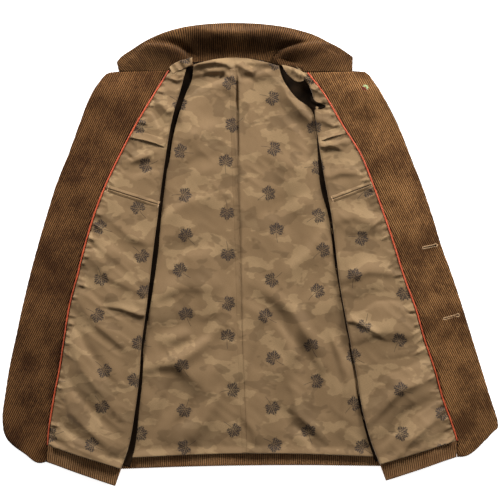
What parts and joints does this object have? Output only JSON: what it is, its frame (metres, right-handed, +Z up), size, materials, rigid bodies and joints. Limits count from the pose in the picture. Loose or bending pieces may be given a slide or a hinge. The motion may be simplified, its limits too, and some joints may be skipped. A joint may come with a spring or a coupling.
{
  "type": "corduroy jacket",
  "caption": "Single-breasted corduroy jacket laid open and flat with its printed lining up, fronts folded outward over their side panels and sleeves folded behind the back.",
  "frame": {"origin": "middle of the footprint, on the surface that the jacket lies on", "axes": "+X from the wearer's right front to the left front as laid, +Y towards the collar, +Z up from the surface towards the lining"},
  "size_m": [0.9097, 0.8528, 0.0297],
  "materials": {
    "corduroy": "ribbed cotton corduroy, matt brown with a soft nap",
    "lining": "khaki cotton lining with a tonal blotched print and dark leaves",
    "dark_lining": "dark brown sleeve lining",
    "piping": "orange-red satin piping",
    "button": "dark brown imitation horn, satin"
  },
  "bodies": {
    "root": {"right_front": "corduroy", "right_facing": "corduroy", "right_piping": "piping", "right_front_hem": "corduroy", "right_front_lining": "lining", "right_pocket_welt_upper": "lining", "right_pocket_welt_lower": "lining", "left_front": "corduroy", "left_facing": "corduroy", "left_piping": "piping", "left_front_hem": "corduroy", "left_front_lining": "lining", "left_pocket_welt_upper": "lining", "left_pocket_welt_lower": "lining", "back": "corduroy", "back_hem": "corduroy", "back_lining": "lining", "right_sleeve_lining": "dark_lining", "left_sleeve_lining": "dark_lining", "top_collar": "corduroy", "under_collar": "corduroy", "right_sleeve": "corduroy", "left_sleeve": "corduroy", "button_upper": "button", "button_lower": "button"}
  },
  "joints": []
}
